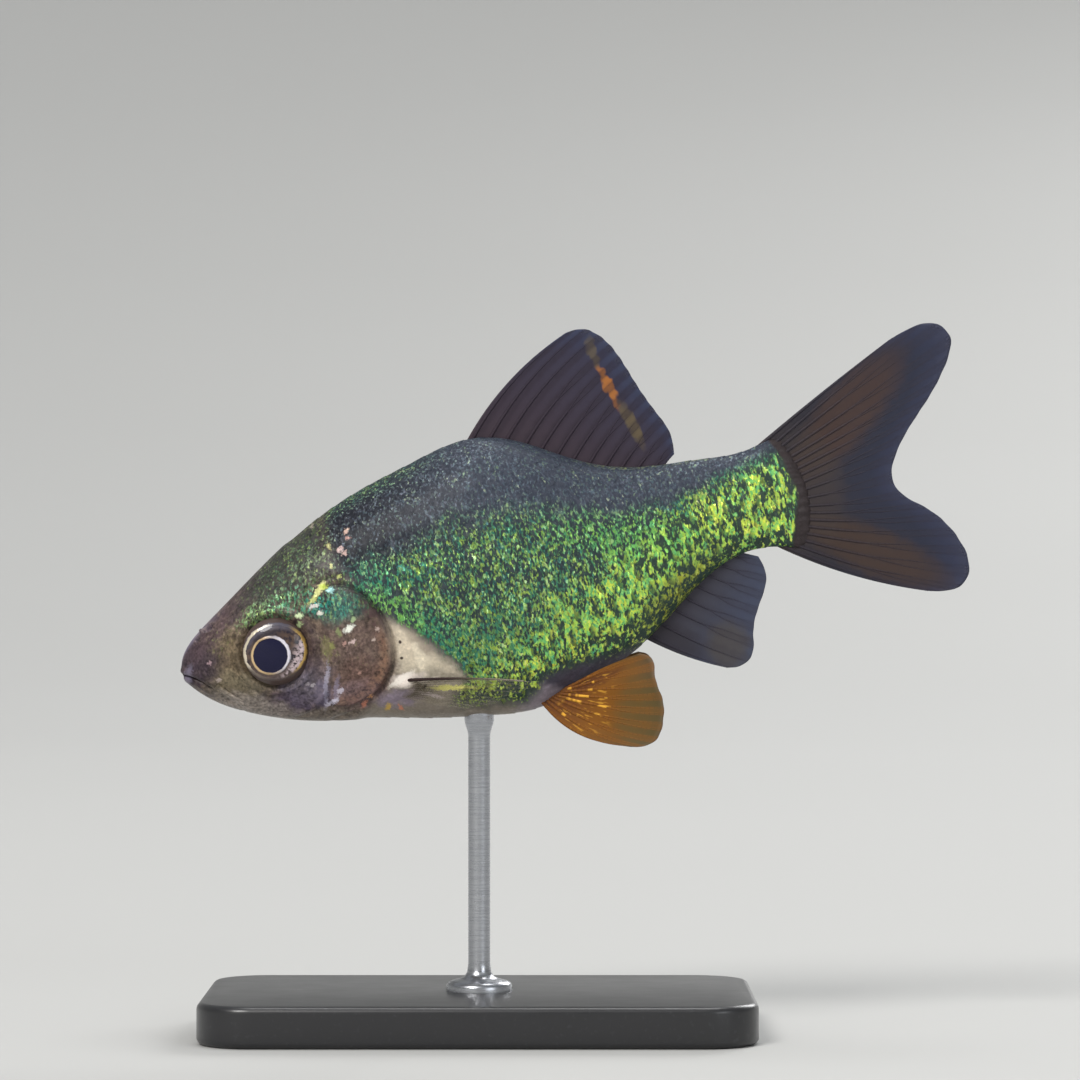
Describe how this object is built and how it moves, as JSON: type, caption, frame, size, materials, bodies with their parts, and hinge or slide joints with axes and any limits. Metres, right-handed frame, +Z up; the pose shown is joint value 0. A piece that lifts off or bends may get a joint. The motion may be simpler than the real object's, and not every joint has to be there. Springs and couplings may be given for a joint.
{
  "type": "green tiger barb model on display stand",
  "caption": "Life-size model of a green tiger barb, a small deep-bodied aquarium fish, swimming nose down on a rod and flat base.",
  "frame": {"origin": "centre of the display base's flat underside, straight below the rod", "axes": "+Z up; +X towards the fish's tail, so the snout points to -X and 15 degrees down; the fish's left side faces -Y"},
  "size_m": [0.0574, 0.024, 0.0517],
  "materials": {
    "head_skin": "moist skin, silver and brown with a green sheen",
    "scaled_skin": "glittering green scales, dusky on the back and yellow-green towards the tail",
    "dusky_fin": "thin slate violet membrane with rays",
    "orange_fin": "thin amber orange membrane with rays",
    "clear_fin": "thin clear membrane with a dark leading ray",
    "eye": "silver iris with gold rings, dark pupil, glossy cornea",
    "stand_plate": "satin black",
    "stand_steel": "polished"
  },
  "bodies": {
    "root": {"head": "head_skin", "lower_jaw": "head_skin", "gill_cover_left": "head_skin", "gill_cover_right": "head_skin", "trunk": "scaled_skin", "tail_stem": "scaled_skin", "eye_left": "eye", "eye_right": "eye", "dorsal_fin": "dusky_fin", "anal_fin": "dusky_fin", "caudal_fin_upper": "dusky_fin", "caudal_fin_lower": "dusky_fin", "pelvic_fin_left": "orange_fin", "pelvic_fin_right": "orange_fin", "pectoral_fin_left": "clear_fin", "pectoral_fin_right": "clear_fin", "stand_base": "stand_plate", "stand_rod": "stand_steel"}
  },
  "joints": []
}
